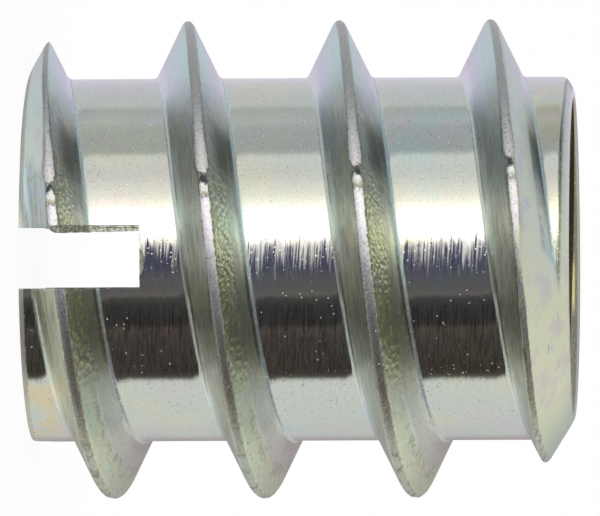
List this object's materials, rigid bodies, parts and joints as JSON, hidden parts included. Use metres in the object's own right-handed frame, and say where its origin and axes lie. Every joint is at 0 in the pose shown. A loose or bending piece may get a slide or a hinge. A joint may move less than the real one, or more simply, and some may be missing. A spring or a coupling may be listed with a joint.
{
  "type": "threaded insert",
  "caption": "Screw-in steel insert with a coarse outer wood thread, a bored and tapped centre, a driver slot across one end and a chamfered lead end.",
  "frame": {"origin": "on the axis, in the plane of the slotted end, which the insert stands on", "axes": "+Z along the axis from the slotted end to the lead end, Y along the driver slot"},
  "size_m": [0.012, 0.012, 0.0136],
  "materials": {
    "zinc_steel": "turned steel, zinc plated with a pale iridescent passivation"
  },
  "bodies": {
    "root": {"insert_body": "zinc_steel"}
  },
  "joints": []
}
